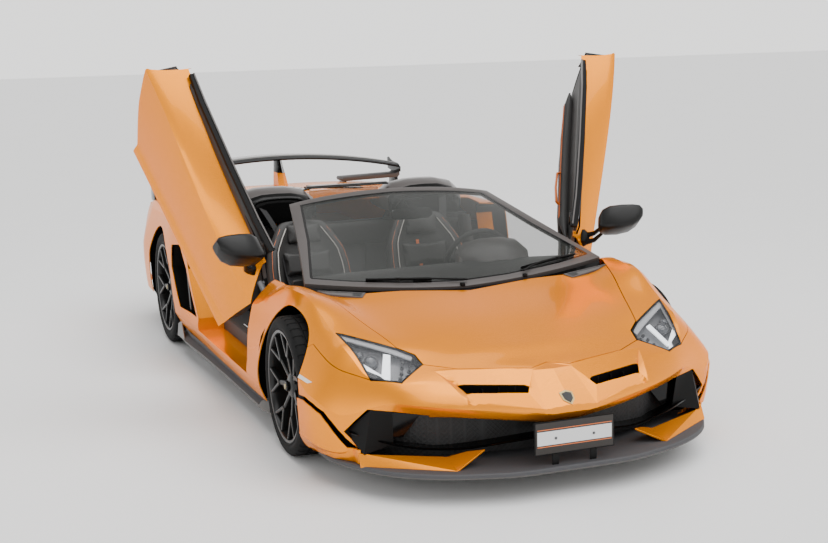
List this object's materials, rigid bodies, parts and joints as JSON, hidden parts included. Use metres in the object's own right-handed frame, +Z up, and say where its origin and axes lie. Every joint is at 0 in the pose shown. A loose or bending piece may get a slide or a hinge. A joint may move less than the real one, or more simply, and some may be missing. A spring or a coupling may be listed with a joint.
{
  "type": "supercar",
  "caption": "Open two-seat mid-engined supercar with scissor doors raised, a low wedge body, wide wheels and a rear wing.",
  "frame": {"origin": "on the ground, under the middle of the overall length and width", "axes": "+X towards the nose, +Y to the driver's left, +Z up"},
  "size_m": [4.942, 2.7442, 1.8058],
  "materials": {
    "body_paint": "glossy metallic orange",
    "cabin_black": "fine grain with stitching",
    "caliper_orange": "gloss",
    "carbon": "satin woven carbon",
    "clear_glass": "clear",
    "clear_lens": "clear over grey",
    "engine_metal": "cast",
    "exhaust_metal": "heat tinted",
    "frame_metal": "satin",
    "gloss_black": "gloss",
    "matte_black": "matte",
    "red_lens": "gloss",
    "rim_black": "gloss black",
    "satin_black": "satin",
    "seat_leather": "soft padded",
    "tyre_rubber": "matte"
  },
  "bodies": {
    "chassis": {"console": "cabin_black", "dashboard": "cabin_black", "diffuser": "carbon", "door_sills": "body_paint", "engine": "engine_metal", "exhaust": "exhaust_metal", "fender_left": "body_paint", "fender_right": "body_paint", "front_bumper": "body_paint", "front_frame": "frame_metal", "front_grille": "satin_black", "front_splitter": "satin_black", "headlights": "clear_lens", "luggage_tub": "matte_black", "plate_bracket": "satin_black", "quarter_left": "body_paint", "quarter_right": "body_paint", "rear_calipers": "caliper_orange", "rear_fascia": "body_paint", "rear_frame": "frame_metal", "rear_uprights": "frame_metal", "rear_window": "clear_glass", "rear_wing": "gloss_black", "roll_hoop_covers": "gloss_black", "seats": "seat_leather", "side_intakes": "satin_black", "side_skirts": "carbon", "suspension_arms": "frame_metal", "tail_lights": "red_lens", "tub": "carbon", "wheel_liners": "matte_black", "windscreen": "clear_glass", "windscreen_frame": "satin_black", "wing_pylon": "body_paint"},
    "door_left": {"door_skin_left": "body_paint", "door_trim_left": "cabin_black", "mirror_left": "gloss_black"},
    "door_right": {"door_skin_right": "body_paint", "door_trim_right": "cabin_black", "mirror_right": "gloss_black"},
    "hood": {"hood": "body_paint"},
    "engine_cover": {"engine_cover": "body_paint"},
    "knuckle_left": {"knuckle_left": "frame_metal", "caliper_left": "caliper_orange"},
    "knuckle_right": {"knuckle_right": "frame_metal", "caliper_right": "caliper_orange"},
    "wheel_front_left": {"tyre_front_left": "tyre_rubber", "rim_front_left": "rim_black"},
    "wheel_front_right": {"tyre_front_right": "tyre_rubber", "rim_front_right": "rim_black"},
    "wheel_rear_left": {"tyre_rear_left": "tyre_rubber", "rim_rear_left": "rim_black"},
    "wheel_rear_right": {"tyre_rear_right": "tyre_rubber", "rim_rear_right": "rim_black"},
    "steering_wheel": {"steering_wheel": "cabin_black"}
  },
  "joints": [
    {"name": "wheel_front_left_spin", "type": "hinge", "parent": "knuckle_left", "child": "wheel_front_left", "pos_m": [1.381, 0.86, 0.33], "axis": [0, 1, 0], "continuous": true},
    {"name": "wheel_front_right_spin", "type": "hinge", "parent": "knuckle_right", "child": "wheel_front_right", "pos_m": [1.381, -0.86, 0.33], "axis": [0, 1, 0], "continuous": true},
    {"name": "wheel_rear_left_spin", "type": "hinge", "parent": "chassis", "child": "wheel_rear_left", "pos_m": [-1.319, 0.84, 0.355], "axis": [0, 1, 0], "continuous": true},
    {"name": "wheel_rear_right_spin", "type": "hinge", "parent": "chassis", "child": "wheel_rear_right", "pos_m": [-1.319, -0.84, 0.355], "axis": [0, 1, 0], "continuous": true},
    {"name": "steer_left", "type": "hinge", "parent": "chassis", "child": "knuckle_left", "pos_m": [1.381, 0.775, 0.33], "axis": [0, 0, 1], "range_deg": [-28, 28]},
    {"name": "steer_right", "type": "hinge", "parent": "chassis", "child": "knuckle_right", "pos_m": [1.381, -0.775, 0.33], "axis": [0, 0, 1], "range_deg": [-28, 28]},
    {"name": "steering_column", "type": "hinge", "parent": "chassis", "child": "steering_wheel", "pos_m": [0.56, 0.37, 0.7], "axis": [-0.9272, 0, 0.3746], "range_deg": [-420, 420]},
    {"name": "door_left_hinge", "type": "hinge", "parent": "chassis", "child": "door_left", "pos_m": [0.76, 0.94, 0.64], "axis": [0, 0.9485, -0.3168], "range_deg": [-61.3, 0]},
    {"name": "door_right_hinge", "type": "hinge", "parent": "chassis", "child": "door_right", "pos_m": [0.76, -0.94, 0.64], "axis": [0, 0.9485, 0.3168], "range_deg": [-61.3, 0]},
    {"name": "hood_hinge", "type": "hinge", "parent": "chassis", "child": "hood", "pos_m": [1.29, 0, 0.69], "axis": [0, -1, 0], "range_deg": [0, 50]},
    {"name": "cover_hinge", "type": "hinge", "parent": "chassis", "child": "engine_cover", "pos_m": [-0.985, 0, 0.921], "axis": [0, 1, 0], "range_deg": [0, 40]}
  ],
  "couplings": [
    {"joint": "steer_right", "follows": "steer_left", "ratio": 1},
    {"joint": "steering_column", "follows": "steer_left", "ratio": 15}
  ]
}
